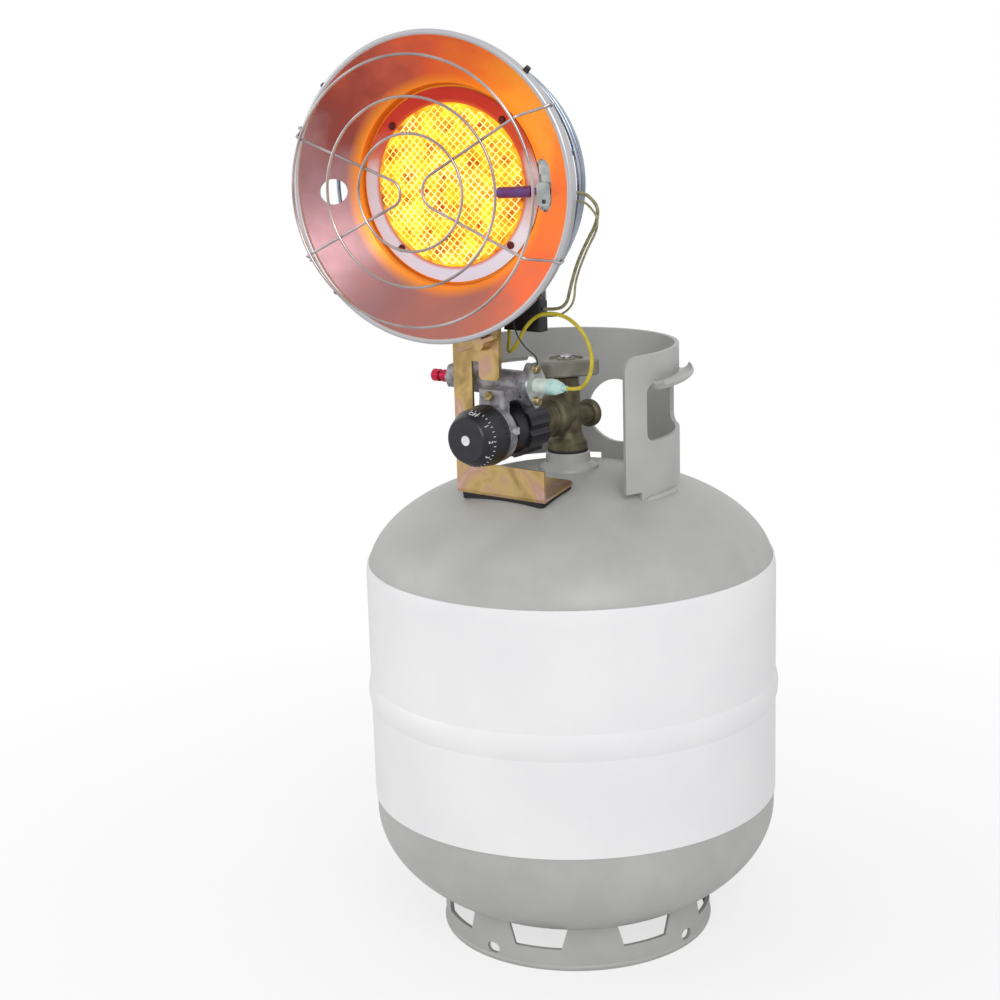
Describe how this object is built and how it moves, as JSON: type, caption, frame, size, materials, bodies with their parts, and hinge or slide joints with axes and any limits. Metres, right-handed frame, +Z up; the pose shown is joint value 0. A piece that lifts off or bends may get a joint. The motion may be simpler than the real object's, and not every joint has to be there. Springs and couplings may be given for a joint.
{
  "type": "portable propane heater",
  "caption": "Radiant dish heater with wire guards, regulator and pilot safety valve, standing on a round gas cylinder with foot ring and collar.",
  "frame": {"origin": "on the cylinder's axis, at the surface that the foot ring stands on", "axes": "+Z up along the cylinder's axis; -Y is the way the cylinder valve's outlet and the regulator's dial point; the dish faces -Y, turned 12 degrees towards +X"},
  "size_m": [0.3149, 0.3287, 0.6867],
  "materials": {
    "tank_paint": "satin grey powder coat",
    "sleeve_film": "smooth white shrink film",
    "valve_brass": "dull forged brass, darkened by handling",
    "bright_steel": "drawn and plated steel",
    "dish_steel": "spun bright sheet, heat tinted",
    "guard_wire": "bright plated wire",
    "cast_alloy": "as-cast alloy, slightly rough",
    "yellow_zinc": "yellow zinc passivated sheet",
    "zinc_plate": "bright zinc plate",
    "black_plastic": "moulded, fine texture",
    "black_rubber": "matt moulded rubber",
    "red_metal": "red anodised",
    "mesh_glow": "woven heat-resisting wire, glowing",
    "burner_steel": "heat-darkened sheet",
    "white_insulator": "milky moulded insulator",
    "teal_insulator": "push-on terminal boot",
    "yellow_insulation": "extruded insulation",
    "olive_insulation": "glass-braid insulation",
    "black_insulation": "extruded insulation",
    "seal_rubber": "nitrile seal",
    "float_plastic": "closed-cell float",
    "pointer_paint": "bright pointer"
  },
  "bodies": {
    "root": {"lower_head": "tank_paint", "upper_head": "tank_paint", "label_sleeve": "sleeve_film", "foot_ring": "tank_paint", "collar": "tank_paint", "valve_boss": "tank_paint", "valve_o_ring": "seal_rubber", "tank_valve_body": "valve_brass", "relief_valve": "valve_brass", "packing_nut": "valve_brass", "overfill_stop": "valve_brass", "coupling_nipple": "valve_brass", "regulator_body": "cast_alloy", "diaphragm": "seal_rubber", "regulator_bonnet": "cast_alloy", "regulator_spring": "bright_steel", "regulator_screws": "bright_steel", "dial_pointer": "pointer_paint", "safety_valve_body": "cast_alloy", "valve_flange_plate": "zinc_plate", "flange_screws": "zinc_plate", "magnet_unit": "bright_steel", "terminal_sleeve": "white_insulator", "wire_terminal": "teal_insulator", "pilot_screw": "valve_brass", "button_bushing": "cast_alloy", "button_spring": "bright_steel", "head_bracket": "yellow_zinc", "bolt_nut": "yellow_zinc", "gas_jet": "valve_brass", "mixing_tube": "burner_steel", "burner_cup": "burner_steel", "burner_plate": "burner_steel", "burner_mesh": "mesh_glow", "burner_ring": "bright_steel", "burner_screws": "burner_steel", "reflector": "dish_steel", "rim_screws": "burner_steel", "front_grille": "guard_wire", "rear_guard": "guard_wire", "thermocouple": "burner_steel", "thermocouple_bracket": "zinc_plate", "tilt_switch": "black_plastic", "tilt_switch_bracket": "zinc_plate", "yellow_wire": "yellow_insulation", "thermocouple_lead": "olive_insulation", "switch_lead": "olive_insulation", "earth_lead": "black_insulation"},
    "regulator_dial": {"regulator_knob": "black_plastic"},
    "safety_button": {"red_button": "red_metal"},
    "tank_handwheel": {"valve_stem": "valve_brass", "valve_handwheel": "black_plastic", "handwheel_screw": "bright_steel"},
    "coupling": {"coupling_nut": "black_plastic"},
    "clamp_bolt": {"wing_bolt": "yellow_zinc"},
    "foot_bracket": {"support_bracket": "yellow_zinc", "foot_pad": "black_rubber"},
    "stop_float": {"float_arm": "bright_steel", "valve_float": "float_plastic"},
    "bleeder": {"bleed_screw": "valve_brass"}
  },
  "joints": [
    {"name": "dial_turn", "type": "hinge", "parent": "root", "child": "regulator_dial", "pos_m": [0, -0.11, 0.4045], "axis": [0, -1, 0], "range_deg": [0, 270]},
    {"name": "button_press", "type": "slide", "parent": "root", "child": "safety_button", "axis": [1, 0, 0], "range_m": [0, 0.005], "stiffness_N_per_m": 600, "springref_m": -0.002},
    {"name": "handwheel_turn", "type": "hinge", "parent": "root", "child": "tank_handwheel", "pos_m": [0, 0, 0.44], "axis": [0, 0, 1], "range_deg": [0, 720]},
    {"name": "coupling_turn", "type": "hinge", "parent": "root", "child": "coupling", "pos_m": [0, -0.06, 0.4045], "axis": [0, -1, 0], "continuous": true},
    {"name": "clamp_turn", "type": "hinge", "parent": "root", "child": "clamp_bolt", "pos_m": [-0.012, -0.082, 0.468], "axis": [0, -1, 0], "continuous": true},
    {"name": "foot_slide", "type": "slide", "parent": "root", "child": "foot_bracket", "axis": [0, 0, 1], "range_m": [0, 0.008]},
    {"name": "float_lift", "type": "hinge", "parent": "root", "child": "stop_float", "pos_m": [0, 0, 0.324], "axis": [1, 0, 0], "range_deg": [0, 50]},
    {"name": "bleed_turn", "type": "hinge", "parent": "root", "child": "bleeder", "pos_m": [-0.012, 0, 0.392], "axis": [-1, 0, 0], "range_deg": [0, 360]}
  ]
}
